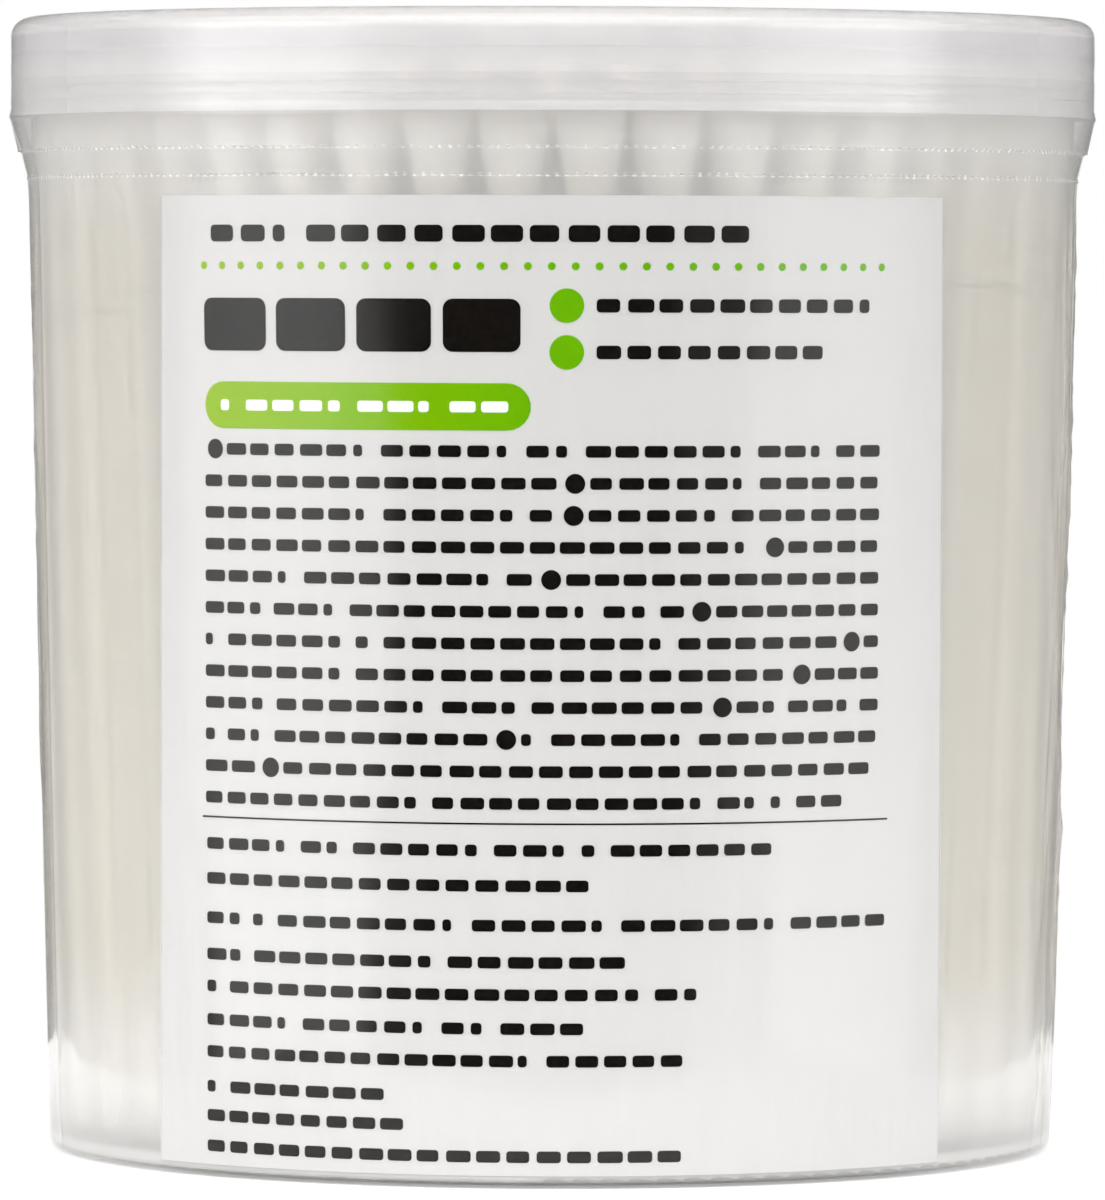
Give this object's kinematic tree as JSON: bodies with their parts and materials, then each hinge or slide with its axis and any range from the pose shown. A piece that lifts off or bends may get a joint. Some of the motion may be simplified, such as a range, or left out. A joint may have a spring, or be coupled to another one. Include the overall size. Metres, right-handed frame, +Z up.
{
  "type": "cotton swab tub",
  "caption": "Round translucent tub of 200 standing cotton swabs with a snap lid, in clear perforated shrink film with a label on the front.",
  "frame": {"origin": "centre of the foot ring's lower face, on the table", "axes": "+Z up the tub's axis to the lid, -Y towards the labelled front, +X to the right of the label"},
  "size_m": [0.0772, 0.0772, 0.08],
  "materials": {
    "tub_plastic": "translucent natural polypropylene",
    "lid_plastic": "translucent natural polypropylene, slightly milky",
    "shrink_film": "clear glossy shrink film",
    "label_paper": "thin white label stock with plain green and dark marks",
    "stick_paper": "rolled ivory paper",
    "cotton": "wound cotton wool"
  },
  "bodies": {
    "tub": {"film_sleeve": "shrink_film", "foot_buds_01": "cotton", "foot_buds_02": "cotton", "foot_buds_03": "cotton", "foot_buds_04": "cotton", "foot_buds_05": "cotton", "foot_buds_06": "cotton", "foot_buds_07": "cotton", "foot_buds_08": "cotton", "foot_buds_09": "cotton", "foot_buds_10": "cotton", "foot_buds_11": "cotton", "foot_buds_12": "cotton", "foot_buds_13": "cotton", "foot_buds_14": "cotton", "foot_buds_15": "cotton", "foot_buds_16": "cotton", "foot_buds_17": "cotton", "foot_buds_18": "cotton", "foot_buds_19": "cotton", "foot_buds_20": "cotton", "foot_buds_21": "cotton", "foot_buds_22": "cotton", "foot_buds_23": "cotton", "foot_buds_24": "cotton", "foot_buds_25": "cotton", "label": "label_paper", "sticks_01": "stick_paper", "sticks_02": "stick_paper", "sticks_03": "stick_paper", "sticks_04": "stick_paper", "tear_band": "shrink_film", "top_buds_01": "cotton", "top_buds_02": "cotton", "top_buds_03": "cotton", "top_buds_04": "cotton", "top_buds_05": "cotton", "top_buds_06": "cotton", "top_buds_07": "cotton", "top_buds_08": "cotton", "top_buds_09": "cotton", "top_buds_10": "cotton", "top_buds_11": "cotton", "top_buds_12": "cotton", "top_buds_13": "cotton", "top_buds_14": "cotton", "top_buds_15": "cotton", "top_buds_16": "cotton", "top_buds_17": "cotton", "top_buds_18": "cotton", "top_buds_19": "cotton", "top_buds_20": "cotton", "top_buds_21": "cotton", "top_buds_22": "cotton", "top_buds_23": "cotton", "top_buds_24": "cotton", "top_buds_25": "cotton", "tub": "tub_plastic"},
    "lid": {"lid": "lid_plastic", "film_cap": "shrink_film"}
  },
  "joints": [
    {"name": "lid_lift", "type": "slide", "parent": "tub", "child": "lid", "axis": [0, 0, 1], "range_m": [0, 0.03]}
  ]
}
